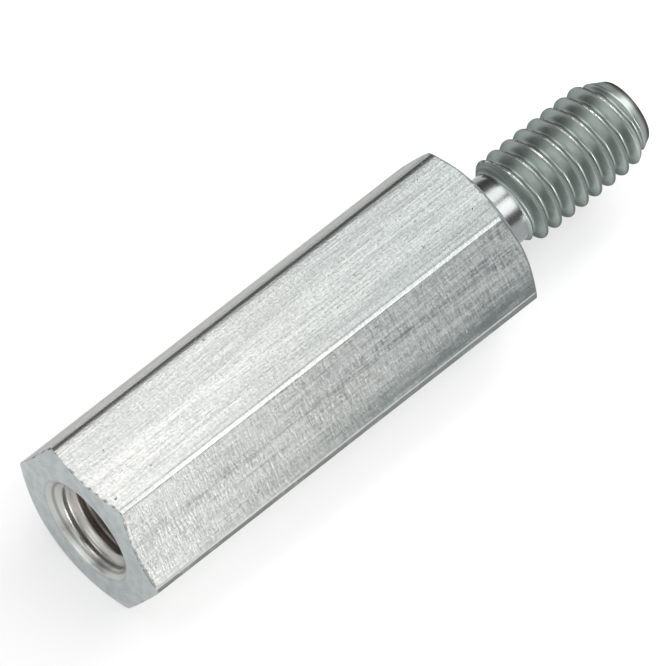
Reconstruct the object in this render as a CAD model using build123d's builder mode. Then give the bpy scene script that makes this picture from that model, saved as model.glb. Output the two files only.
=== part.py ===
from build123d import *
from math import cos, radians, tan
import os

# Hex standoff: a hexagon bar with a threaded stud on one end and a tapped hole in the other.
# It lies on one flat, with its axis along X, the stud towards +X and the hole mouth towards -X.
# All lengths are in millimetres and all angles in degrees.

# Hexagon bar
across_flats = 6.93
hex_length = 20.0
corner_radius = 0.3

# Conical chamfers turned on the bar's corners, each starting a narrow rim inside the flats
chamfer_rim = 0.05
hole_end_chamfer_angle = 20.0
stud_end_chamfer_angle = 30.0

# Threaded stud, drawn at the diameter over its thread crests
stud_length = 7.9
stud_diameter = 3.88
tip_diameter = 2.76
tip_angle = 28.0

# Relief neck between the shoulder and the thread
neck_diameter = 3.05
neck_length = 1.48
neck_fillet = 0.2
thread_run_in_angle = 48.0

# Tapped hole, drawn at the diameter inside its thread crests
hole_diameter = 3.3
hole_depth = 10.0
drill_point_angle = 118.0
mouth_diameter = 4.7
mouth_angle = 90.0

# How far a cutting or trimming profile reaches past the solid
overrun = 1.0

# Places along the axis, with the origin under the middle of the whole length
hole_end = -(hex_length + stud_length) / 2
shoulder = hole_end + hex_length
stud_tip = shoulder + stud_length
axis_height = across_flats / 2

hole_end_plane = Plane(origin=(hole_end, 0, axis_height), x_dir=(0, 1, 0), z_dir=(1, 0, 0))
# Half profiles are drawn here: the first coordinate is X, the second the distance from the axis
profile_plane = Plane(origin=(0, 0, axis_height), x_dir=(1, 0, 0), z_dir=(0, -1, 0))
bar_axis = Axis((0, 0, axis_height), (1, 0, 0))

end_face_radius = across_flats / 2 - chamfer_rim
trim_radius = across_flats / 2 / cos(radians(30.0)) + overrun
hole_end_trim = (trim_radius - end_face_radius) * tan(radians(hole_end_chamfer_angle))
stud_end_trim = (trim_radius - end_face_radius) * tan(radians(stud_end_chamfer_angle))

run_in_length = (stud_diameter - neck_diameter) / 2 / tan(radians(thread_run_in_angle))
neck_start = shoulder + neck_fillet
thread_start = shoulder + neck_length + run_in_length
tip_length = (stud_diameter - tip_diameter) / 2 / tan(radians(tip_angle))

mouth_depth = (mouth_diameter - hole_diameter) / 2 / tan(radians(mouth_angle / 2))
drill_point_depth = hole_diameter / 2 / tan(radians(drill_point_angle / 2))

with BuildPart() as hex_standoff:
    # Drawn hexagon bar with one flat down
    with BuildSketch(hole_end_plane) as bar_section:
        RegularPolygon(across_flats / 2, 6, major_radius=False)
        fillet(bar_section.vertices(), corner_radius)
    extrude(amount=hex_length)

    # Corner chamfers at both ends
    with BuildSketch(profile_plane):
        with BuildLine():
            Polyline(
                (hole_end, 0),
                (hole_end, end_face_radius),
                (hole_end + hole_end_trim, trim_radius),
                (shoulder - stud_end_trim, trim_radius),
                (shoulder, end_face_radius),
                (shoulder, 0),
                close=True,
            )
        make_face()
    revolve(axis=bar_axis, mode=Mode.INTERSECT)

    # Stud with its relief neck, filleted into the shoulder, and its chamfered tip
    with BuildSketch(profile_plane):
        with BuildLine():
            CenterArc((neck_start, neck_diameter / 2 + neck_fillet), neck_fillet, 180.0, 90.0)
            Polyline(
                (neck_start, neck_diameter / 2),
                (shoulder + neck_length, neck_diameter / 2),
                (thread_start, stud_diameter / 2),
                (stud_tip - tip_length, stud_diameter / 2),
                (stud_tip, tip_diameter / 2),
                (stud_tip, 0),
                (shoulder, 0),
                (shoulder, neck_diameter / 2 + neck_fillet),
            )
        make_face()
    revolve(axis=bar_axis)

    # Blind tapped hole with a countersunk mouth and a drill point at the bottom
    with BuildSketch(profile_plane):
        with BuildLine():
            Polyline(
                (hole_end, 0),
                (hole_end, mouth_diameter / 2),
                (hole_end + mouth_depth, hole_diameter / 2),
                (hole_end + hole_depth, hole_diameter / 2),
                (hole_end + hole_depth + drill_point_depth, 0),
                close=True,
            )
        make_face()
    revolve(axis=bar_axis, mode=Mode.SUBTRACT)

hex_standoff.part.label = "hex_standoff"

os.makedirs("parts", exist_ok=True)
export_step(hex_standoff.part, "parts/hex_standoff.step")
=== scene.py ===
from math import ceil, cos, pi, radians, sin, tan
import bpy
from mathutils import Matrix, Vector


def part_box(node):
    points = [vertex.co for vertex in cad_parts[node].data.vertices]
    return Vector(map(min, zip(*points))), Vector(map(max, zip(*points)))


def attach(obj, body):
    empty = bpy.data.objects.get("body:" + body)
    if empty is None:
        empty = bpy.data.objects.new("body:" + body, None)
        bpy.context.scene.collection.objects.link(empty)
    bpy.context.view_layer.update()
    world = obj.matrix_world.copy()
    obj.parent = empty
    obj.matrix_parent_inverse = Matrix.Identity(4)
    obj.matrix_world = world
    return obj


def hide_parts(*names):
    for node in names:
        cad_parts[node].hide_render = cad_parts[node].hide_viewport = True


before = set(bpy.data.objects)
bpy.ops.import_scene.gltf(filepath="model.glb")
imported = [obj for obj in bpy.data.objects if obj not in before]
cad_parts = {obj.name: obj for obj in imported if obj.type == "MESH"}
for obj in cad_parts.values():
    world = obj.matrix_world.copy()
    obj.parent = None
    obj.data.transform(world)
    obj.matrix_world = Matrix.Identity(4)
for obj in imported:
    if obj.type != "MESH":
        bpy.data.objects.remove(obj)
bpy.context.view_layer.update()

from types import SimpleNamespace

import bpy
import numpy as np
from mathutils import Matrix, Vector

# Hex standoff: a drawn hexagon bar with a rolled stud on one end and a tapped hole in the other.
# It lies along X on one flat, with the stud towards +X and the hole's mouth towards -X.
# Lengths are in metres, unless a comment says otherwise. Angles are given in degrees and used in radians.

MM = 0.001
NODE = "hex_standoff"

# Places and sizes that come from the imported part
node_low, node_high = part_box(NODE)
HOLE_END = node_low.x
STUD_TIP = node_high.x
AXIS_HEIGHT = (node_low.z + node_high.z) / 2
FLAT_DISTANCE = (node_high.z - node_low.z) / 2

# Hexagon bar: a narrow land at each corner, and a conical chamfer from the rim of each end
SIDES = 6
SECTOR = radians(360.0 / SIDES)
HEX_LENGTH = 20.0 * MM
SHOULDER = HOLE_END + HEX_LENGTH
LAND_WIDTH = 0.235 * MM
LAND_CROWN = 0.006 * MM
LAND_DISTANCE = FLAT_DISTANCE / cos(SECTOR / 2) - LAND_WIDTH / 2 / tan(SECTOR)
CHAMFER_RIM = FLAT_DISTANCE - 0.05 * MM
HOLE_END_CHAMFER = 20.0
STUD_END_CHAMFER = 30.0

# Corners and flats are counted from +Y over the top, and a flat follows the corner of the same number.

# How far each corner's rounding reaches before and after it, and how far its land lies past it
ROUNDED_BEFORE = np.array((0.1, 0.24, 0.095, 0.25, 0.1, 0.15)) * MM
ROUNDED_AFTER = np.array((0.1, 0.2, 0.004, 0.1, 0.14, 0.004)) * MM
LAND_SHIFT = np.array((0.02, 0.3, 0.12, 0.02, 0.02, 0.02)) * MM

# Wear of each corner's land, where 1 is rubbed bright, and how far it reaches; the -1 on corner 3 is
# painted shade, a dark line along that corner
LAND_WEAR_AND_SHADE = np.array((1.0, 0.55, 0.8, -1.0, 1.0, 0.7))
LAND_WEAR_AND_SHADE_REACH = 0.75 * LAND_WIDTH

# A thin painted line before two corners: a dark painted reflection before corner 2, and a painted highlight
# before corner 3; how far before the corner it lies, and how dark or bright it is
PAINTED_LINE_PLACE = np.array((0.0, 0.0, 0.085, 0.2, 0.0, 0.0)) * MM
PAINTED_LINE_WIDTH = 0.025 * MM
PAINTED_LINE_LIGHT = np.array((0.0, 0.0, -1.4, 3.5, 0.0, 0.0))

# How strongly the grain shows on each flat, and how much of the painted shade towards the stud each flat
# takes
FLAT_GRAIN = np.array((0.6, 0.2, 1.0, 0.6, 0.4, 0.8))
FLAT_PAINTED_SHADE = np.array((0.35, 1.0, 1.0, 0.6, 0.8, 0.5))

# End edges: their radius, the chips that widen it, and their wear, which chips and a coarse flat lower
EDGE_RADIUS = 0.03 * MM
CHIP_RADIUS = 0.09 * MM
EDGE_CHIPS = 150
CHIP_RARITY = 3
CHIP_DULLNESS = 1.6
GRAIN_DULLNESS = 0.9
HOLE_END_WEAR = 0.4
STUD_END_WEAR = -0.35
HOLE_END_SEED = 3
STUD_END_SEED = 8

# Stud: turned neck, rolled thread and chamfered tip
STUD_RADIUS = 1.94 * MM
STUD_CREST_FLAT = 0.03 * MM
STUD_CREST_ROUNDING = 0.05 * MM
STUD_ROOT_ROUNDING = 0.09 * MM
STUD_CREST = SHOULDER + 1.72 * MM
NECK_RADIUS = 1.525 * MM
NECK_FILLET = 0.2 * MM
NECK_FOOT = NECK_RADIUS + NECK_FILLET
NECK_END = SHOULDER + 1.48 * MM
RUN_IN_ANGLE = 48.0
TIP_RADIUS = 1.38 * MM
TIP_ANGLE = 28.0
TIP_SLOPE = tan(radians(TIP_ANGLE))
TIP_EDGE = 0.06 * MM
TIP_CORNER = TIP_EDGE / 4

# How far wear reaches from the middle of a crest, and where the roots' darkening starts to fade and ends
# beside a root
CREST_WEAR_REACH = 0.065 * MM
ROOT_DARK_CORE = 0.03 * MM
ROOT_DARK_REACH = 0.06 * MM

# Hole: drilled, countersunk and tapped
DRILL_RADIUS = 1.65 * MM
DRILL_END = HOLE_END + 10.0 * MM
DRILL_POINT_ANGLE = 118.0
MOUTH_RADIUS = 2.35 * MM
MOUTH_EDGE = 0.05 * MM
MOUTH_WEAR = 0.5
TAP_RADIUS = 2.0 * MM
TAP_CREST_FLAT = 0.16 * MM
TAP_CREST = HOLE_END + 0.36 * MM
TAP_END = HOLE_END + 8.6 * MM
TAP_FADE = 0.9 * MM

# Thread form of stud and hole
PITCH = 0.7 * MM
FLANK = radians(30.0)
FLANK_SLOPE = 1 / tan(FLANK)
SOFT_EDGE = 0.025 * MM
STUD_ROUNDINGS = STUD_CREST_ROUNDING + STUD_ROOT_ROUNDING
STUD_FLANK = (PITCH - STUD_CREST_FLAT) / 2 - STUD_ROUNDINGS * cos(FLANK)
STUD_DEPTH = STUD_ROUNDINGS * (1 - sin(FLANK)) + FLANK_SLOPE * STUD_FLANK

# How finely the mesh follows the form: columns round the axis, and rings along it
CORNER_STATIONS = np.array((-0.4, -0.32, -0.25, -0.2, -0.16, -0.12, -0.085, -0.05,
                            0.0, 0.06, 0.11, 0.133, 0.14, 0.148, 0.2, 0.28)) * MM
FLAT_COLUMNS = 21
FLAT_RINGS = 34
FLAT_END_SHARES = (0.003, 0.015)
FACE_RINGS = 5
FILLET_RINGS = 5
EDGE_RING_SHARES = (0.25, 0.5, 0.75, 1.0)
MOUTH_RING_ANGLES = (15.0, 40.0, 65.0, 90.0)
DRILL_POINT_SHARES = (0.1, 0.4, 0.7, 1.0)
NECK_RING_SHARES = (0.05, 0.35, 0.7, 1.0)
TIP_FACE_SHARES = (0.9, 0.6, 0.3)

# Rows along a thread, as shares of its pitch
STUD_ROW_SHARES = (0.035, 0.075, 0.125, 0.2, 0.27, 0.33, 0.39, 0.445)
TAP_ROW_SHARES = (0.09, 0.14, 0.27, 0.4)

# How near a thread's end its points join the ring there, as a share of a mean row's width
SNAP_SHARE = 1 / 3

# Finishes, by their place among the piece's materials
DRAWN, TURNED, NECK, ROLLED, TAPPED = range(5)


def column_angles():
    """Angles of the mesh's columns about the axis, close together round each corner."""
    corner = np.arctan2(CORNER_STATIONS, LAND_DISTANCE)
    flat = np.linspace(corner[-1], SECTOR + corner[0], FLAT_COLUMNS + 2)[1:-1]
    one = np.concatenate([corner, flat])
    return np.concatenate([one + SECTOR * side for side in range(SIDES)])


ANGLES = column_angles()
COLUMNS = len(ANGLES)
PAST_CORNER = (ANGLES + SECTOR / 2) % SECTOR - SECTOR / 2
CORNER_NUMBER = np.round(ANGLES / SECTOR).astype(int) % SIDES
FLAT_NUMBER = (ANGLES / SECTOR).astype(int) % SIDES


def soft_least(a, b, width):
    """The lesser of two values, with the crease between them rounded over a width."""
    overlap = np.maximum(width - np.abs(a - b), 0) / width
    return np.minimum(a, b) - overlap ** 2 * width / 4


def soft_greatest(a, b, width):
    """The greater of two values, with the crease between them rounded over a width."""
    return -soft_least(-a, -b, width)


def fade(distance, full, none):
    """1 up to one distance, falling evenly to 0 at another."""
    return np.clip((none - distance) / (none - full), 0, 1)


def hexagon_outline():
    """Distance from the axis to the bar in each column: a crowned land between two flats at each corner."""
    turned = PAST_CORNER - LAND_SHIFT[CORNER_NUMBER] / LAND_DISTANCE
    off_middle = np.minimum(np.abs(LAND_DISTANCE * np.tan(turned)), LAND_WIDTH)
    land = LAND_DISTANCE / np.cos(turned) - LAND_CROWN * (off_middle / (LAND_WIDTH / 2)) ** 2
    flat_before = FLAT_DISTANCE / np.cos(PAST_CORNER + SECTOR / 2)
    flat_after = FLAT_DISTANCE / np.cos(PAST_CORNER - SECTOR / 2)
    slope = tan(SECTOR / 2)
    rounded = soft_least(land, flat_before, ROUNDED_BEFORE[CORNER_NUMBER] * slope)
    return soft_least(rounded, flat_after, ROUNDED_AFTER[CORNER_NUMBER] * slope)


def corner_wear_and_light():
    """Wear in each column on each corner's land, with painted shade on corner 3's land, and the painted
    line before corners 2 and 3.
    """
    sideways = LAND_DISTANCE * np.tan(PAST_CORNER)
    from_painted_line = np.abs(sideways + PAINTED_LINE_PLACE[CORNER_NUMBER])
    on_land = LAND_WEAR_AND_SHADE[CORNER_NUMBER] * fade(np.abs(sideways), LAND_WIDTH / 2, LAND_WEAR_AND_SHADE_REACH)
    return on_land + PAINTED_LINE_LIGHT[CORNER_NUMBER] * fade(from_painted_line, PAINTED_LINE_WIDTH, 2 * PAINTED_LINE_WIDTH)


OUTLINE = hexagon_outline()
CORNER_WEAR_AND_LIGHT = corner_wear_and_light()


def chipped_edge(wear, seed):
    """Radius and wear of an end's edge in each column: uneven, with the deepest chips dull."""
    chips = np.random.default_rng(seed).random(EDGE_CHIPS) ** CHIP_RARITY
    places = np.linspace(0, 2 * pi, EDGE_CHIPS, endpoint=False)
    chipped = np.interp(ANGLES, places, chips, period=2 * pi)
    radius = EDGE_RADIUS + CHIP_RADIUS * chipped
    return radius, wear - CHIP_DULLNESS * chipped - GRAIN_DULLNESS * FLAT_GRAIN[FLAT_NUMBER]


def arc_height(radius, distance):
    """Height of a circle above its centre at a distance to one side of it."""
    return np.sqrt(np.maximum(radius ** 2 - distance ** 2, 0))


def from_crest(x, angle, crest):
    """Distance along the axis from the nearest crest of a right-hand thread."""
    turns = (x - crest) / PITCH - angle / (2 * pi)
    return np.abs(turns - np.round(turns)) * PITCH


def tap_form(x, angle):
    """Radius and wear of the hole, from its countersunk mouth down to where the thread runs out."""
    past_crest = from_crest(x, angle, TAP_CREST)
    past_flat = past_crest - TAP_CREST_FLAT / 2
    rise = FLANK_SLOPE * past_flat
    depth = (TAP_RADIUS - DRILL_RADIUS) * fade(x, TAP_END - TAP_FADE, TAP_END)
    groove = np.minimum(soft_greatest(rise, 0 * rise, SOFT_EDGE), depth)
    countersink = MOUTH_RADIUS - (x - HOLE_END)
    return soft_greatest(DRILL_RADIUS + groove, countersink, SOFT_EDGE), fade(past_flat, 0, SOFT_EDGE)


def stud_drop(past_crest):
    """How far the rolled thread lies below its crest: a crest arc, a straight flank and a root arc."""
    past_flat = np.maximum(past_crest - STUD_CREST_FLAT / 2, 0)
    flank_start = STUD_CREST_ROUNDING * cos(FLANK)
    crest_arc = STUD_CREST_ROUNDING - arc_height(STUD_CREST_ROUNDING, past_flat)
    flank = STUD_CREST_ROUNDING * (1 - sin(FLANK)) + FLANK_SLOPE * (past_flat - flank_start)
    root_arc = STUD_DEPTH - STUD_ROOT_ROUNDING + arc_height(STUD_ROOT_ROUNDING, PITCH / 2 - past_crest)
    below_crest = np.where(past_flat < flank_start + STUD_FLANK, flank, root_arc)
    return np.where(past_flat < flank_start, crest_arc, below_crest)


def stud_form(x, angle):
    """Radius of the stud from its neck, along the thread, to the tip's chamfer, and its crests' wear less
    its roots' darkening.
    """
    run_in = NECK_RADIUS + np.maximum(x - NECK_END, 0) * tan(radians(RUN_IN_ANGLE))
    tip = TIP_RADIUS + (STUD_TIP - x) * TIP_SLOPE
    blank = soft_least(run_in, tip, SOFT_EDGE)
    past_crest = from_crest(x, angle, STUD_CREST)
    thread = STUD_RADIUS - stud_drop(past_crest)
    rubbed = fade(past_crest, 0, CREST_WEAR_REACH)
    darker_root = fade(PITCH / 2 - past_crest, ROOT_DARK_CORE, ROOT_DARK_REACH)
    wear_and_light = np.where(thread < tip, rubbed - darker_root, 0)
    return soft_least(thread, blank, SOFT_EDGE), wear_and_light


class Skin:
    """Rings of points about the axis, joined by faces from the hole's bottom out to the stud's tip."""

    def __init__(self):
        self.points = []
        self.wear_and_light = []
        self.across = []
        self.coarse = []
        self.painted_shade = []
        self.faces = []
        self.finishes = []

    def point(self, x, radius, angle, wear_and_light):
        """Adds one point, with its wear and painted light and what it takes from its flat, and returns its
        number.
        """
        flat = int(angle / SECTOR) % SIDES
        self.points.append([x, radius * cos(angle), AXIS_HEIGHT + radius * sin(angle)])
        self.wear_and_light.append(wear_and_light)
        self.across.append(tan(angle % SECTOR - SECTOR / 2) / tan(SECTOR / 2))
        self.coarse.append(FLAT_GRAIN[flat])
        self.painted_shade.append(FLAT_PAINTED_SHADE[flat])
        return len(self.points) - 1

    def ring(self, x, radius, wear_and_light=0.0):
        """Adds one point in each column and returns their numbers."""
        x, radius, wear_and_light = (np.broadcast_to(value, ANGLES.shape) for value in (x, radius, wear_and_light))
        return np.array([self.point(*each) for each in zip(x, radius, ANGLES, wear_and_light)])

    def pole(self, x):
        """Adds one point on the axis, which every column shares."""
        return np.full(COLUMNS, self.point(x, 0.0, 0.0, 0.0))

    def face(self, corners, finish):
        """Adds a face, unless its corners have closed up to fewer than three."""
        kept = list(dict.fromkeys(int(corner) for corner in corners))
        if len(kept) > 2:
            self.faces.append(kept)
            self.finishes.append(finish)

    def band(self, first, second, finish):
        """Joins two rings with faces."""
        for j in range(COLUMNS):
            k = (j + 1) % COLUMNS
            self.face((first[j], first[k], second[k], second[j]), finish)

    def follow(self, ring, stations, finish, wear_and_light=0.0):
        """Joins a ring to a new one at each (x, radius) in turn and returns the last."""
        for x, radius in stations:
            following = self.ring(x, radius, wear_and_light)
            self.band(ring, following, finish)
            ring = following
        return ring

    def helix(self, low, high, low_x, high_x, crest, shares, form, finish, inward):
        """Fills the space between two rings with rows that run along a thread's helix."""
        steps = [0.0, *shares, 0.5, *(1 - share for share in reversed(shares))]
        start = low_x - (low_x - crest) % PITCH - PITCH
        turns = ceil((high_x - start) / PITCH) + 1
        offsets = np.array([PITCH * (turn + step) for turn in range(turns) for step in steps])
        places = start + offsets[:, None] + PITCH * ANGLES[None, :] / (2 * pi)
        snap = PITCH / len(steps) * SNAP_SHARE
        numbers = np.empty(places.shape, int)
        for i, row in enumerate(places):
            radius, wear_and_light = form(row, ANGLES)
            for j, x in enumerate(row):
                if x < low_x + snap:
                    numbers[i, j] = low[j]
                elif x > high_x - snap:
                    numbers[i, j] = high[j]
                else:
                    numbers[i, j] = self.point(x, radius[j], ANGLES[j], wear_and_light[j])
        after_seam = np.concatenate([numbers[len(steps):, 0], np.full(len(steps), high[0])])
        numbers = np.column_stack([numbers, after_seam])
        for i in range(len(offsets) - 1):
            for j in range(COLUMNS):
                corners = (numbers[i, j], numbers[i, j + 1], numbers[i + 1, j + 1], numbers[i + 1, j])
                self.face(corners[::-1] if inward else corners, finish)


def hole_wall(skin):
    """The hole from the drill's point, up the tapped wall, to just inside the mouth."""
    point = DRILL_END + DRILL_RADIUS / tan(radians(DRILL_POINT_ANGLE / 2))
    cone = [(point + (DRILL_END - point) * share, DRILL_RADIUS * share) for share in DRILL_POINT_SHARES]
    deep_x = TAP_END + SOFT_EDGE
    deep = skin.follow(skin.pole(point), cone, TAPPED)
    deep = skin.follow(deep, [(DRILL_END - SOFT_EDGE, DRILL_RADIUS), (deep_x, DRILL_RADIUS)], TAPPED)
    mouth_x = HOLE_END + MOUTH_EDGE
    mouth = skin.ring(mouth_x, MOUTH_RADIUS - MOUTH_EDGE)
    skin.helix(mouth, deep, mouth_x, deep_x, TAP_CREST, TAP_ROW_SHARES, tap_form, TAPPED, True)
    return mouth


def end_face(end, inner, outer):
    """Stations across a flat end face, from one radius to another."""
    return [(end, radius) for radius in np.linspace(inner, outer, FACE_RINGS)]


def cone_end(end, direction, chamfer, wear, seed):
    """Stations from an end's rim out along its conical chamfer and round the edge to the flats."""
    slope = tan(radians(chamfer))
    turn = radians(90 - chamfer)
    edge_radius, edge_wear = chipped_edge(wear, seed)
    inset = edge_radius * tan(turn / 2)
    meeting = end + direction * (OUTLINE - CHAMFER_RIM) * slope
    edge = np.maximum(OUTLINE - inset * cos(radians(chamfer)), CHAMFER_RIM)
    radii = ((edge + CHAMFER_RIM) / 2, edge)
    cone = [(end + direction * (radius - CHAMFER_RIM) * slope, radius) for radius in radii]
    rounding = []
    for share in EDGE_RING_SHARES:
        swing = radians(chamfer) + turn * share
        x = meeting + direction * (inset - edge_radius * cos(swing))
        rounding.append((x, OUTLINE - edge_radius * (1 - sin(swing))))
    return cone, rounding, edge_wear


def mouth_lip():
    """Stations round the edge of the hole's mouth, from the countersink out to the end face."""
    stations = []
    for swing in np.radians(MOUTH_RING_ANGLES):
        x = HOLE_END + MOUTH_EDGE * (1 - sin(swing)) ** 2
        stations.append((x, MOUTH_RADIUS + MOUTH_EDGE * swing / radians(90)))
    return stations


def hexagon_bar(skin, mouth):
    """The end face round the hole's mouth, the six flats, and the shoulder at the stud's end."""
    ring = skin.follow(mouth, mouth_lip(), TURNED, MOUTH_WEAR)
    ring = skin.follow(ring, end_face(HOLE_END, MOUTH_RADIUS + 2 * MOUTH_EDGE, CHAMFER_RIM), TURNED)
    cone, rounding, wear = cone_end(HOLE_END, 1, HOLE_END_CHAMFER, HOLE_END_WEAR, HOLE_END_SEED)
    ring = skin.follow(ring, cone, TURNED)
    ring = skin.follow(ring, rounding, DRAWN, wear)
    first = rounding[-1][0]
    cone, rounding, wear = cone_end(SHOULDER, -1, STUD_END_CHAMFER, STUD_END_WEAR, STUD_END_SEED)
    last = rounding[-1][0]
    outer, inner = FLAT_END_SHARES
    shares = [outer, *np.linspace(inner, 1 - inner, FLAT_RINGS), 1 - outer]
    flats = [(first + (last - first) * share, OUTLINE) for share in shares]
    ring = skin.follow(ring, flats, DRAWN, CORNER_WEAR_AND_LIGHT)
    ring = skin.follow(ring, rounding[::-1], DRAWN, wear)
    ring = skin.follow(ring, cone[::-1], TURNED)
    return skin.follow(ring, end_face(SHOULDER, CHAMFER_RIM, NECK_FOOT), TURNED)


def neck_fillet():
    """Stations round the fillet between the shoulder and the neck."""
    stations = []
    for swing in np.radians(np.linspace(90 / FILLET_RINGS, 90, FILLET_RINGS)):
        stations.append((SHOULDER + NECK_FILLET * (1 - cos(swing)), NECK_FOOT - NECK_FILLET * sin(swing)))
    return stations


def threaded_stud(skin, ring):
    """The neck with its fillet, the thread with its run-in, and the tip."""
    ring = skin.follow(ring, neck_fillet(), NECK)
    neck_x = SHOULDER + NECK_FILLET
    low_x = NECK_END - SOFT_EDGE
    neck = [(neck_x + (low_x - neck_x) * share, NECK_RADIUS) for share in NECK_RING_SHARES]
    low = skin.follow(ring, neck, NECK)
    high_x = STUD_TIP - (STUD_RADIUS - STUD_DEPTH - TIP_RADIUS) / TIP_SLOPE / 2
    high = skin.ring(high_x, TIP_RADIUS + (STUD_TIP - high_x) * TIP_SLOPE)
    skin.helix(low, high, low_x, high_x, STUD_CREST, STUD_ROW_SHARES, stud_form, ROLLED, False)
    rim = [(STUD_TIP - TIP_EDGE, TIP_RADIUS + TIP_EDGE * TIP_SLOPE),
           (STUD_TIP - TIP_CORNER, TIP_RADIUS - TIP_CORNER),
           (STUD_TIP, TIP_RADIUS - TIP_EDGE)]
    ring = skin.follow(high, rim, ROLLED)
    ring = skin.follow(ring, [(STUD_TIP, TIP_RADIUS * share) for share in TIP_FACE_SHARES], TURNED)
    skin.band(ring, skin.pole(STUD_TIP), TURNED)


def build_standoff():
    """The whole part as one closed mesh."""
    skin = Skin()
    mouth = hole_wall(skin)
    shoulder = hexagon_bar(skin, mouth)
    threaded_stud(skin, shoulder)
    mesh = bpy.data.meshes.new("standoff")
    mesh.from_pydata(skin.points, [], skin.faces)
    mesh.polygons.foreach_set("use_smooth", [True] * len(mesh.polygons))
    mesh.polygons.foreach_set("material_index", skin.finishes)
    for name in ("wear_and_light", "across", "coarse", "painted_shade"):
        mesh.attributes.new(name, "FLOAT", "POINT").data.foreach_set("value", getattr(skin, name))
    for finish in (drawn_zinc, turned_zinc, neck_zinc, rolled_zinc, tapped_zinc):
        mesh.materials.append(finish())
    mesh.update()
    piece = bpy.data.objects.new("standoff", mesh)
    bpy.context.scene.collection.objects.link(piece)
    return piece


# In the finishes below, marks are (features per millimetre, detail), and colours are linear.
# A ramp is (from low, from high, to low, to high).
# Places along X and Y are in millimetres from the origin.


def add(tree, kind, inputs, **settings):
    """Adds a node, sets its options, and fills or links its inputs."""
    made = tree.nodes.new(kind)
    for option, value in settings.items():
        setattr(made, option, value)
    for name, value in inputs.items():
        if isinstance(value, bpy.types.NodeSocket):
            tree.links.new(value, made.inputs[name])
        else:
            made.inputs[name].default_value = value
    return made


def new_metal(name):
    """A metal's material, node tree and shader."""
    material = bpy.data.materials.new(name)
    material.use_nodes = True
    shader = material.node_tree.nodes["Principled BSDF"]
    shader.inputs["Metallic"].default_value = 1.0
    return material, material.node_tree, shader


def millimetres(tree):
    """Places on the part in millimetres, with heights measured from the axis."""
    where = add(tree, "ShaderNodeTexCoord", {}).outputs["Object"]
    centred = add(tree, "ShaderNodeVectorMath", {0: where, 1: (0, 0, AXIS_HEIGHT)}, operation="SUBTRACT")
    scaled = add(tree, "ShaderNodeVectorMath", {0: centred.outputs[0], "Scale": 1 / MM}, operation="SCALE")
    return scaled.outputs[0]


def parts(tree, vector):
    """The X, Y and Z of a vector."""
    return add(tree, "ShaderNodeSeparateXYZ", {0: vector}).outputs


def attribute(tree, name):
    """A number stored on the mesh's points."""
    return add(tree, "ShaderNodeAttribute", {}, attribute_name=name).outputs["Fac"]


def noise(tree, where, marks):
    """Soft noise with its own number of features per millimetre along X, Y and Z."""
    per_mm, detail = marks
    stretched = add(tree, "ShaderNodeVectorMath", {0: where, 1: per_mm}, operation="MULTIPLY").outputs[0]
    inputs = {"Vector": stretched, "Scale": 1.0, "Detail": detail}
    return add(tree, "ShaderNodeTexNoise", inputs).outputs["Fac"]


def lines(tree, along, marks):
    """Noise in one direction only, for turned marks."""
    per_mm, detail = marks
    inputs = {"W": along, "Scale": per_mm, "Detail": detail}
    return add(tree, "ShaderNodeTexNoise", inputs, noise_dimensions="1D").outputs["Fac"]


def remap(tree, value, ramp):
    """A smooth step from one range of values to another."""
    inputs = dict(zip(("From Min", "From Max", "To Min", "To Max"), ramp))
    inputs["Value"] = value
    return add(tree, "ShaderNodeMapRange", inputs, interpolation_type="SMOOTHSTEP").outputs["Result"]


def mix(tree, share, first, second):
    """A colour between two. Sockets 6, 7 and 2 are the node's two colours and its result."""
    return add(tree, "ShaderNodeMix", {0: share, 6: first, 7: second}, data_type="RGBA").outputs[2]


def maths(tree, operation, *values):
    """One operation on one or two numbers."""
    return add(tree, "ShaderNodeMath", dict(enumerate(values)), operation=operation).outputs[0]


def times(tree, first, second):
    """Two numbers multiplied."""
    return maths(tree, "MULTIPLY", first, second)


def from_place(tree, value, place):
    """How far a value lies from a place, either way."""
    return maths(tree, "ABSOLUTE", maths(tree, "SUBTRACT", value, place))


def total(tree, values, weights):
    """The sum of values, each times its weight."""
    result = None
    for value, weight in zip(values, weights):
        scaled = times(tree, value, weight)
        result = scaled if result is None else maths(tree, "ADD", result, scaled)
    return result


def finish_metal(tree, shader, colour, roughness, height, distance):
    """Links a metal's colour, roughness and surface relief."""
    relief = add(tree, "ShaderNodeBump", {"Height": height, "Strength": 1.0, "Distance": distance})
    tree.links.new(colour, shader.inputs["Base Color"])
    tree.links.new(roughness, shader.inputs["Roughness"])
    tree.links.new(relief.outputs[0], shader.inputs["Normal"])


# Drawn flats: the marks of the die and of the plating, by their number per millimetre along X, Y and Z
STREAKS = ((0.09, 2.2, 2.2), 4.0)
SCORES = ((0.4, 9.0, 9.0), 3.0)
CHATTER = ((10.0, 2.0, 2.0), 2.0)
DRAWN_GRAIN = ((9.0, 9.0, 9.0), 3.0)
FINE_GRAIN = ((14.0, 14.0, 14.0), 1.0)
BLOTS = ((1.0, 6.0, 6.0), 2.0)
BLOTS_RAMP = (0.42, 0.6, 0.25, 1.0)
PITS = ((3.6, 4.6, 4.6), 0.0)
PITS_RAMP = (0.83, 0.86, 0.0, 1.0)
# Painted shade: where the flats' darkening towards the stud starts and ends
PAINTED_SHADE_RAMP = (HOLE_END / MM, SHOULDER / MM, 0.0, 1.0)

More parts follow.
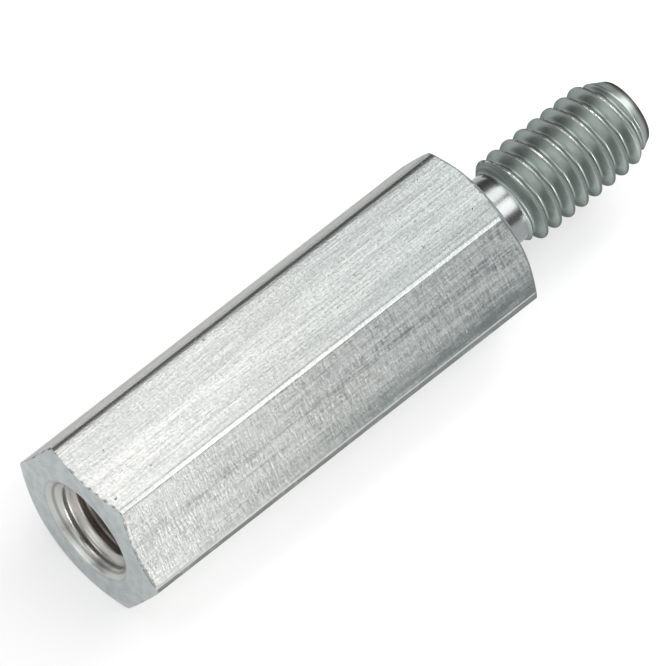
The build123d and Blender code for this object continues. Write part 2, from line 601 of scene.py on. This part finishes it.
# Drawn flats: bare zinc, with its colours at the hole's end and at the stud's end, where painted shade
# makes them darker
FRESH_COLOURS = ((0.655, 0.655, 0.63, 1), (0.47, 0.5, 0.487, 1))
DULL_COLOURS = ((0.5, 0.51, 0.495, 1), (0.36, 0.383, 0.38, 1))
CLEAN_WEIGHTS = (0.7, 0.35, 0.4, 0.6)
CLEAN_RAMP = (0.77, 1.28, 0.0, 1.0)
FLAT_ROUGHNESS_RAMP = (0.0, 1.0, 0.42, 0.34)
WORN_ROUGHNESS_RAMP = (-1.0, 1.0, 0.14, -0.14)
DRAWN_RELIEF_WEIGHTS = (1.0, 1.2, 1.0, 0.8, -2.0)
DRAWN_RELIEF = 0.009 * MM
DRAWN_GLANCE = (0.68, 0.68, 0.68, 1)

# Drawn flats: dirt in the hatch and in a die mark along each flat, pale flecks, and painted shade along one
# edge
GRIME_COLOURS = ((0.3, 0.315, 0.31, 1), (0.13, 0.15, 0.15, 1))
HATCH_WEIGHTS = (0.5, 0.5, 0.45)
HATCH_RAMP = (0.5, 0.86, 0.8, 0.0)
PATCHES = ((0.5, 1.5, 1.5), 2.0)
PATCHES_RAMP = (0.35, 0.65, 0.45, 1.0)
DIE_MARK_PLACE = -0.2
DIE_MARK_RAMP = (0.02, 0.14, 1.0, 0.0)
GRIME_WEIGHTS = (1.0, 0.35)
FLECK_COLOUR = (0.6, 0.615, 0.6, 1)
FLECK_WEIGHTS = (0.4, 0.4, 0.4)
FLECK_RAMP = (0.6, 0.76, 0.0, 0.55)
EDGE_SHADE_COLOUR = (0.155, 0.18, 0.175, 1)
EDGE_SHADE_ACROSS_RAMP = (0.2, 0.75, 0.0, 1.0)
EDGE_SHADE_GRAIN_RAMP = (0.0, 1.0, 0.3, 0.9)
EDGE_SHADE_BLOTS_RAMP = (0.25, 1.0, 0.75, 1.1)
PIT_COLOUR = (0.3, 0.31, 0.3, 1)

# Drawn flats: corners and edges, dark where their wear is below 0 and bright where it is above; the dark on
# corner 3's land and on the line before corner 2 is painted shade, and the line before corner 3 is a
# painted highlight
CORNER_CHIPS = ((1.6, 4.0, 4.0), 3.0)
CORNER_CHIPS_RAMP = (0.38, 0.6, -0.75, -1.4)
CHIPPED_AND_SHADED_COLOUR = (0.2, 0.215, 0.21, 1)
RUBBED_AND_HIGHLIGHT_COLOUR = (0.8, 0.8, 0.78, 1)
RUBBED_SHARE = 0.08
RUBBED_RAMP = (0.0, 0.8, 0.0, 1.0)
HOLE_SIDE_RAMP = (HOLE_END / MM, HOLE_END / MM + 5.0, 0.6, 0.0)
HOLE_SIDE_COLOUR = (0.36, 0.37, 0.36, 1)

# Drawn flats: the painted highlight line before corner 3, whose value is above 1, brighter towards the stud
PAINTED_HIGHLIGHT_RAMP = (1.0, 3.5, 0.0, 0.4)


def drawn_marks(tree):
    """The marks that the drawn finish is made from, and where they lie."""
    where = millimetres(tree)
    along = parts(tree, where)["X"]
    return SimpleNamespace(
        where=where,
        along=along,
        wear_and_light=attribute(tree, "wear_and_light"),
        across=attribute(tree, "across"),
        coarse=attribute(tree, "coarse"),
        # Painted shade: darker from the hole's end towards the stud, by each flat's share
        shade=times(tree, remap(tree, along, PAINTED_SHADE_RAMP), attribute(tree, "painted_shade")),
        streaks=noise(tree, where, STREAKS),
        scores=noise(tree, where, SCORES),
        chatter=noise(tree, where, CHATTER),
        grain=noise(tree, where, DRAWN_GRAIN),
        blots=remap(tree, noise(tree, where, BLOTS), BLOTS_RAMP),
        pits=remap(tree, noise(tree, where, PITS), PITS_RAMP))


def drawn_dirt(tree, marks, colour):
    """Adds grime, flecks, pits and painted shade along one edge to the colour of the flats."""
    off_die_mark = from_place(tree, marks.across, DIE_MARK_PLACE)
    die_mark = times(tree, remap(tree, off_die_mark, DIE_MARK_RAMP), marks.blots)
    hatch = total(tree, (marks.chatter, marks.scores, marks.grain), HATCH_WEIGHTS)
    patches = remap(tree, noise(tree, marks.where, PATCHES), PATCHES_RAMP)
    hatch = times(tree, remap(tree, hatch, HATCH_RAMP), patches)
    grime_share = maths(tree, "SUBTRACT", marks.coarse, marks.wear_and_light)
    grime = times(tree, total(tree, (hatch, die_mark), GRIME_WEIGHTS), grime_share)
    # The grime's colour also darkens towards the stud with the painted shade.
    colour = mix(tree, grime, colour, mix(tree, marks.shade, *GRIME_COLOURS))
    fine_grain = noise(tree, marks.where, FINE_GRAIN)
    flecks = total(tree, (marks.chatter, marks.scores, fine_grain), FLECK_WEIGHTS)
    flecks = times(tree, remap(tree, flecks, FLECK_RAMP), times(tree, marks.shade, marks.coarse))
    colour = mix(tree, flecks, colour, FLECK_COLOUR)
    # Painted shade along one edge of each flat, growing towards the stud, broken up by grain and blots
    edge_shade = times(tree, remap(tree, marks.across, EDGE_SHADE_ACROSS_RAMP), marks.shade)
    edge_shade = times(tree, edge_shade, remap(tree, marks.coarse, EDGE_SHADE_GRAIN_RAMP))
    edge_shade = times(tree, edge_shade, remap(tree, marks.blots, EDGE_SHADE_BLOTS_RAMP))
    colour = mix(tree, edge_shade, colour, EDGE_SHADE_COLOUR)
    return mix(tree, marks.pits, colour, PIT_COLOUR)


def drawn_corners(tree, marks, colour):
    """Adds chipped and rubbed corners, painted shade on one land and one line, and a painted highlight line
    to the colour of the flats.
    """
    chips = remap(tree, noise(tree, marks.where, CORNER_CHIPS), CORNER_CHIPS_RAMP)
    # Chipped edges turn dark; on corner 3's land and the line before corner 2 this dark is painted shade
    colour = mix(tree, times(tree, marks.wear_and_light, chips), colour, CHIPPED_AND_SHADED_COLOUR)
    colour = mix(tree, times(tree, marks.wear_and_light, RUBBED_SHARE), colour, RUBBED_AND_HIGHLIGHT_COLOUR)
    hole_side = remap(tree, marks.along, HOLE_SIDE_RAMP)
    hole_side = times(tree, hole_side, remap(tree, marks.wear_and_light, RUBBED_RAMP))
    colour = mix(tree, hole_side, colour, HOLE_SIDE_COLOUR)
    # Painted highlight: the bright line before corner 3, stronger towards the stud
    painted_highlight = times(tree, remap(tree, marks.wear_and_light, PAINTED_HIGHLIGHT_RAMP), marks.shade)
    return mix(tree, painted_highlight, colour, RUBBED_AND_HIGHLIGHT_COLOUR)


def drawn_zinc():
    """Zinc on drawn flats: die streaks along the bar, fine chatter across it, pits and rubbed corners, with
    painted shade towards the stud and along one edge, and painted lines beside corners.
    """
    material, tree, shader = new_metal("drawn_zinc")
    marks = drawn_marks(tree)
    fresh = mix(tree, marks.shade, *FRESH_COLOURS)
    dull = mix(tree, marks.shade, *DULL_COLOURS)
    clean = total(tree, (marks.streaks, marks.scores, marks.chatter, marks.grain), CLEAN_WEIGHTS)
    clean = remap(tree, clean, CLEAN_RAMP)
    colour = mix(tree, clean, dull, fresh)
    colour = drawn_dirt(tree, marks, colour)
    colour = drawn_corners(tree, marks, colour)
    flat_roughness = remap(tree, clean, FLAT_ROUGHNESS_RAMP)
    roughness = maths(tree, "ADD", flat_roughness, remap(tree, marks.wear_and_light, WORN_ROUGHNESS_RAMP))
    relief = (marks.chatter, marks.grain, marks.scores, marks.streaks, marks.pits)
    height = total(tree, relief, DRAWN_RELIEF_WEIGHTS)
    finish_metal(tree, shader, colour, roughness, height, DRAWN_RELIEF)
    shader.inputs["Specular Tint"].default_value = DRAWN_GLANCE
    return material


# Turned end faces: rings round the axis, and clouds
CLOUDS_RAMP = (0.35, 0.65, 0.0, 1.0)
TURNED_RINGS = (9.0, 3.0)
TURNED_CLOUDS = ((2.0, 2.0, 2.0), 3.0)
TURNED_COLOURS = ((0.4, 0.437, 0.437, 1), (0.47, 0.505, 0.505, 1))
TURNED_ROUGHNESS_RAMP = (0.3, 0.7, 0.42, 0.5)
TURNED_RELIEF_WEIGHTS = (1.0, 0.6)
TURNED_RELIEF = 0.006 * MM


def turned_zinc():
    """Zinc on the turned end faces: matt blue-grey, with fine rings round the axis."""
    material, tree, shader = new_metal("turned_zinc")
    where = millimetres(tree)
    flat = add(tree, "ShaderNodeVectorMath", {0: where, 1: (0, 1, 1)}, operation="MULTIPLY").outputs[0]
    radius = add(tree, "ShaderNodeVectorMath", {0: flat}, operation="LENGTH").outputs["Value"]
    rings = lines(tree, radius, TURNED_RINGS)
    clouds = noise(tree, where, TURNED_CLOUDS)
    colour = mix(tree, remap(tree, clouds, CLOUDS_RAMP), *TURNED_COLOURS)
    roughness = remap(tree, rings, TURNED_ROUGHNESS_RAMP)
    height = total(tree, (rings, clouds), TURNED_RELIEF_WEIGHTS)
    finish_metal(tree, shader, colour, roughness, height, TURNED_RELIEF)
    return material


# Turned neck: painted shade on its far and near sides, and beside the thread
NECK_RINGS = (12.0, 3.0)
NECK_CLOUDS = ((3.0, 3.0, 3.0), 2.0)
NECK_COLOURS = ((0.395, 0.415, 0.412, 1), (0.45, 0.467, 0.465, 1))
NECK_FAR_RAMP = (0.2, 0.6, 0.0, 0.5)
NECK_FAR_SHADE_COLOUR = (0.2, 0.215, 0.21, 1)
NECK_NEAR_RAMP = (-1.0, -1.3, 0.0, 0.8)
NECK_NEAR_SHADE_COLOUR = (0.22, 0.235, 0.235, 1)
THREAD_SIDE_RAMP = (NECK_END / MM - 0.18, NECK_END / MM, 0.0, 0.7)
THREAD_SIDE_SHADE_COLOUR = (0.22, 0.24, 0.232, 1)
NECK_ROUGHNESS_RAMP = (0.3, 0.7, 0.25, 0.28)
NECK_RELIEF = 0.0001 * MM


def neck_zinc():
    """Zinc on the turned neck: nearly a mirror, with faint rings, and painted shade on its far and near
    sides and beside the thread.
    """
    material, tree, shader = new_metal("neck_zinc")
    where = millimetres(tree)
    place = parts(tree, where)
    rings = lines(tree, place["X"], NECK_RINGS)
    colour = mix(tree, noise(tree, where, NECK_CLOUDS), *NECK_COLOURS)
    # Painted shade on the far side, on the near side and beside the thread
    colour = mix(tree, remap(tree, place["Y"], NECK_FAR_RAMP), colour, NECK_FAR_SHADE_COLOUR)
    colour = mix(tree, remap(tree, place["Y"], NECK_NEAR_RAMP), colour, NECK_NEAR_SHADE_COLOUR)
    colour = mix(tree, remap(tree, place["X"], THREAD_SIDE_RAMP), colour, THREAD_SIDE_SHADE_COLOUR)
    roughness = remap(tree, rings, NECK_ROUGHNESS_RAMP)
    finish_metal(tree, shader, colour, roughness, rings, NECK_RELIEF)
    return material


# Rolled thread: satin flanks, with painted shade in a stripe low on the near side and over the far side,
# and turned rings on the run-in
ROLLED_CLOUDS = ((1.6, 1.6, 1.6), 3.0)
ROLLED_GRAIN = ((9.0, 9.0, 9.0), 2.0)
SATIN_COLOURS = ((0.415, 0.457, 0.437, 1), (0.455, 0.49, 0.472, 1))
STRIPE_PLACE = -1.37
STRIPE_RAMP = (0.08, 0.42, 0.75, 0.0)
SHADE_STRIPE_COLOUR = (0.25, 0.275, 0.265, 1)
FAR_SIDE_RAMP = (0.0, 1.2, 0.0, 1.0)
FAR_SIDE_SHADE_COLOUR = (0.33, 0.365, 0.35, 1)
RUN_IN_RAMP = (NECK_END / MM + 0.25, NECK_END / MM + 0.45, 1.0, 0.0)
RUN_IN_COLOUR = (0.27, 0.3, 0.29, 1)
RUN_IN_RINGS = (13.0, 1.0)
RUN_IN_RINGS_RAMP = (0.48, 0.62, 0.0, 0.6)
RUN_IN_RINGS_COLOUR = (0.5, 0.52, 0.5, 1)

# Rolled thread: crests with a painted highlight in beads on the upper side and painted shade low on the
# near side, darker roots, matt flanks that face the tip, and painted shade on the rim there
HIGHLIGHT_BEADS = ((8.0, 8.0, 8.0), 1.0)
HIGHLIGHT_BEADS_RAMP = (0.46, 0.56, 0.0, 1.0)
HIGHLIGHT_SIDE_RAMP = (-0.95, -0.15, 0.0, 1.0)
CREST_LINE_RAMP = (0.4, 0.8, 0.0, 1.0)
CREST_SHADE_AND_HIGHLIGHT = ((0.2, 0.215, 0.208, 1), (0.58, 0.565, 0.54, 1))
CREST_SHADE_RAMP = (0.0, 0.3, 0.0, 1.0)
CREST_SHADE_SIDE_RAMP = (-1.0, -0.5, 1.0, 0.0)
CREST_SHADE_COLOUR = (0.2, 0.218, 0.21, 1)
ROOT_COLOUR = (0.32, 0.35, 0.335, 1)
TIP_FACING_RAMP = (0.35, 0.75, 0.0, 1.0)
TIP_FACING_COLOUR = (0.44, 0.47, 0.455, 1)
TIP_RIM_SHADE_RAMP = (STUD_TIP / MM - 0.34, STUD_TIP / MM - 0.1, 0.0, 1.0)
TIP_RIM_SHADE_COLOUR = (0.1, 0.1, 0.095, 1)

# Rolled thread: roughness, relief and gloss at a glancing angle
SATIN_ROUGHNESS_RAMP = (0.35, 0.65, 0.33, 0.38)
ROLLED_ROUGHNESS_WEIGHTS = (1.0, -0.1, 0.16, 0.14, 0.28)
ROLLED_RELIEF_WEIGHTS = (0.3, 0.5)
ROLLED_RELIEF = 0.004 * MM
ROLLED_GLANCE = (0.25, 0.3, 0.28, 1)


def satin_flanks(tree, place, clouds, run_in):
    """Colour of the thread's flanks and of its run-in, with painted shade in a stripe low on the near side
    and over the far side.
    """
    rings = remap(tree, lines(tree, place["X"], RUN_IN_RINGS), RUN_IN_RINGS_RAMP)
    colour = mix(tree, remap(tree, clouds, CLOUDS_RAMP), *SATIN_COLOURS)
    # Painted shade: a dark stripe low on the near side, and a darker far side
    off_stripe = from_place(tree, place["Y"], STRIPE_PLACE)
    colour = mix(tree, remap(tree, off_stripe, STRIPE_RAMP), colour, SHADE_STRIPE_COLOUR)
    colour = mix(tree, remap(tree, place["Y"], FAR_SIDE_RAMP), colour, FAR_SIDE_SHADE_COLOUR)
    colour = mix(tree, run_in, colour, RUN_IN_COLOUR)
    return mix(tree, times(tree, rings, run_in), colour, RUN_IN_RINGS_COLOUR)


def rolled_zinc():
    """Zinc on the rolled thread: green-grey and satin, with rubbed crests that carry a painted highlight
    above and painted shade below.
    """
    material, tree, shader = new_metal("rolled_zinc")
    where = millimetres(tree)
    place = parts(tree, where)
    clouds = noise(tree, where, ROLLED_CLOUDS)
    wear_and_light = attribute(tree, "wear_and_light")
    run_in = remap(tree, place["X"], RUN_IN_RAMP)
    colour = satin_flanks(tree, place, clouds, run_in)
    # Painted highlight: bright beads along the crests on the upper side; the crests' darker colour between
    # them is painted shade
    highlight_beads = remap(tree, noise(tree, where, HIGHLIGHT_BEADS), HIGHLIGHT_BEADS_RAMP)
    highlight_beads = times(tree, highlight_beads, remap(tree, place["Y"], HIGHLIGHT_SIDE_RAMP))
    crest_line = remap(tree, wear_and_light, CREST_LINE_RAMP)
    colour = mix(tree, crest_line, colour, mix(tree, highlight_beads, *CREST_SHADE_AND_HIGHLIGHT))
    # Painted shade on the crests low on the near side, which are also rougher
    dull = times(tree, remap(tree, place["Y"], CREST_SHADE_SIDE_RAMP), remap(tree, wear_and_light, CREST_SHADE_RAMP))
    colour = mix(tree, dull, colour, CREST_SHADE_COLOUR)
    colour = mix(tree, times(tree, wear_and_light, -1.0), colour, ROOT_COLOUR)
    facing = parts(tree, add(tree, "ShaderNodeNewGeometry", {}).outputs["Normal"])["X"]
    tip_facing = remap(tree, facing, TIP_FACING_RAMP)
    colour = mix(tree, tip_facing, colour, TIP_FACING_COLOUR)
    # Painted shade on the tip's rim, a dark reflection
    colour = mix(tree, remap(tree, place["X"], TIP_RIM_SHADE_RAMP), colour, TIP_RIM_SHADE_COLOUR)
    satin_roughness = remap(tree, clouds, SATIN_ROUGHNESS_RAMP)
    rubbed = times(tree, crest_line, highlight_beads)
    roughness = (satin_roughness, rubbed, run_in, tip_facing, dull)
    roughness = total(tree, roughness, ROLLED_ROUGHNESS_WEIGHTS)
    height = total(tree, (clouds, noise(tree, where, ROLLED_GRAIN)), ROLLED_RELIEF_WEIGHTS)
    finish_metal(tree, shader, colour, roughness, height, ROLLED_RELIEF)
    shader.inputs["Specular Tint"].default_value = ROLLED_GLANCE
    return material


# Tapped hole: a darker ring in the countersink, and brown below it
TAPPED_CLOUDS = ((2.5, 2.5, 2.5), 3.0)
MOUTH_COLOURS = ((0.5, 0.51, 0.49, 1), (0.6, 0.6, 0.56, 1))
MOUTH_RING_PLACE = HOLE_END / MM + 0.24
MOUTH_RING_RAMP = (0.02, 0.07, 0.8, 0.0)
MOUTH_RING_COLOUR = (0.26, 0.27, 0.26, 1)
DEPTH_RAMP = (HOLE_END / MM + 0.3, HOLE_END / MM + 1.6, 0.0, 1.0)
DEEP_COLOUR = (0.4, 0.35, 0.325, 1)
TAPPED_ROUGHNESS_RAMP = (0.3, 0.7, 0.3, 0.42)
TAPPED_ROUGHNESS_WEIGHTS = (1.0, 0.18)
TAPPED_RELIEF = 0.006 * MM


def tapped_zinc():
    """Zinc inside the hole: thin and brownish where the plating hardly reaches."""
    material, tree, shader = new_metal("tapped_zinc")
    where = millimetres(tree)
    along = parts(tree, where)["X"]
    clouds = noise(tree, where, TAPPED_CLOUDS)
    mouth = mix(tree, clouds, *MOUTH_COLOURS)
    off_ring = from_place(tree, along, MOUTH_RING_PLACE)
    mouth = mix(tree, remap(tree, off_ring, MOUTH_RING_RAMP), mouth, MOUTH_RING_COLOUR)
    depth = remap(tree, along, DEPTH_RAMP)
    colour = mix(tree, depth, mouth, DEEP_COLOUR)
    roughness = (remap(tree, clouds, TAPPED_ROUGHNESS_RAMP), depth)
    roughness = total(tree, roughness, TAPPED_ROUGHNESS_WEIGHTS)
    finish_metal(tree, shader, colour, roughness, clouds, TAPPED_RELIEF)
    return material


# Floor: pale paper that keeps a soft shadow, lifted to white in the picture and in the metal
FLOOR_SIZE = 6.0
FLOOR_COLOUR = (0.5, 0.5, 0.5, 1)
FLOOR_LIFT = 0.5


def make_floor():
    """The paper that the part lies on."""
    half = FLOOR_SIZE / 2
    corners = [(-half, -half, 0), (half, -half, 0), (half, half, 0), (-half, half, 0)]
    mesh = bpy.data.meshes.new("floor")
    mesh.from_pydata(corners, [], [(0, 1, 2, 3)])
    floor = bpy.data.objects.new("floor", mesh)
    bpy.context.scene.collection.objects.link(floor)
    material = bpy.data.materials.new("floor_paper")
    material.use_nodes = True
    tree = material.node_tree
    tree.nodes.clear()
    paper = add(tree, "ShaderNodeBsdfDiffuse", {"Color": FLOOR_COLOUR})
    path = add(tree, "ShaderNodeLightPath", {}).outputs
    seen = maths(tree, "MAXIMUM", path["Is Camera Ray"], path["Is Glossy Ray"])
    seen = maths(tree, "MAXIMUM", seen, path["Is Transmission Ray"])
    lift = add(tree, "ShaderNodeEmission", {"Strength": times(tree, seen, FLOOR_LIFT)})
    both = add(tree, "ShaderNodeAddShader", {0: paper.outputs[0], 1: lift.outputs[0]})
    add(tree, "ShaderNodeOutputMaterial", {"Surface": both.outputs[0]})
    mesh.materials.append(material)


# Light: a dim room, and soft lamps whose width lies across the part and whose length lies along it
ROOM_COLOUR = (0.1, 0.1, 0.1, 1)
LAMPS = {
    "softbox_far": dict(swing=73.5, lean=-3.0, distance=0.17, width=0.12, length=0.26, radiance=1.48),
    "softbox_near": dict(swing=124.5, lean=18.0, distance=0.17, width=0.114, length=0.15, radiance=1.68),
    "softbox_end": dict(swing=89.0, lean=46.0, distance=0.17, width=0.12, length=0.06, radiance=4.6),
    "fill_near": dict(swing=173.0, lean=-18.0, distance=0.11, width=0.045, length=0.085, radiance=5.35),
    "fill_front": dict(swing=140.0, lean=-30.0, distance=0.15, width=0.05, length=0.1, radiance=1.0),
    "fill_left": dict(swing=35.0, lean=-74.0, distance=0.15, width=0.07, length=0.07, radiance=1.5),
    "fill_mouth": dict(swing=117.0, lean=-70.0, distance=0.15, width=0.07, length=0.07, radiance=0.57),
    "fill_far": dict(swing=20.0, lean=-20.0, distance=0.12, width=0.04, length=0.1, radiance=0.45),
    "fill_tip": dict(swing=88.0, lean=74.0, distance=0.15, width=0.06, length=0.04, radiance=3.2),
}

# Watts for each square metre of a lamp, at a radiance of 1
WATTS_PER_RADIANCE = 4.0


def softbox(name, swing, lean, distance, width, length, radiance):
    """A soft area light that faces the part. It swings from +Y over the top to -Y, and leans to +X."""
    light = bpy.data.lights.new(name, "AREA")
    light.shape = "RECTANGLE"
    light.size = length
    light.size_y = width
    light.energy = WATTS_PER_RADIANCE * radiance * width * length
    lamp = bpy.data.objects.new(name, light)
    bpy.context.scene.collection.objects.link(lamp)
    swing = radians(swing)
    lean = radians(lean)
    away = Vector((sin(lean), cos(lean) * cos(swing), cos(lean) * sin(swing)))
    side = (Vector((1, 0, 0)) - away * away.x).normalized()
    placed = Matrix((side, away.cross(side), away)).transposed().to_4x4()
    placed.translation = Vector((0, 0, AXIS_HEIGHT)) + away * distance
    lamp.matrix_world = placed
    lamp.visible_camera = False


def make_lights():
    """The room's even light, and the lamps."""
    world = bpy.data.worlds.new("room")
    bpy.context.scene.world = world
    world.use_nodes = True
    world.node_tree.nodes["Background"].inputs["Color"].default_value = ROOM_COLOUR
    for name, values in LAMPS.items():
        softbox(name, **values)


# Camera: where it aims and stands, fitted to the photograph's view of the part
IMAGE_PIXELS = 666
PIXELS_PER_METRE = 26142.0
AIM = Vector((-1.07 * MM, 0.182 * MM, AXIS_HEIGHT))
CAMERA_DISTANCE = 776.16 * MM
CAMERA_ELEVATION = 57.444
CAMERA_AZIMUTH = -129.435
CAMERA_ROLL = 3.166
CLIP_START = CAMERA_DISTANCE / 100
CLIP_END = CAMERA_DISTANCE * 10


def make_camera():
    """The photograph's view."""
    data = bpy.data.cameras.new("camera")
    camera = bpy.data.objects.new("camera", data)
    bpy.context.scene.collection.objects.link(camera)
    azimuth = radians(CAMERA_AZIMUTH)
    elevation = radians(CAMERA_ELEVATION)
    roll = radians(CAMERA_ROLL)
    back = Vector((cos(elevation) * cos(azimuth), cos(elevation) * sin(azimuth), sin(elevation)))
    level = Vector((0, 0, 1)).cross(back).normalized()
    right = level * cos(roll) - back.cross(level) * sin(roll)
    placed = Matrix((right, back.cross(right), back)).transposed().to_4x4()
    placed.translation = AIM + back * CAMERA_DISTANCE
    camera.matrix_world = placed
    data.lens = data.sensor_width * PIXELS_PER_METRE * CAMERA_DISTANCE / IMAGE_PIXELS
    data.clip_start = CLIP_START
    data.clip_end = CLIP_END
    bpy.context.scene.camera = camera


bpy.context.scene.view_settings.view_transform = "Standard"
standoff = build_standoff()
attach(standoff, "root")
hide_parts(NODE)
make_floor()
make_lights()
make_camera()
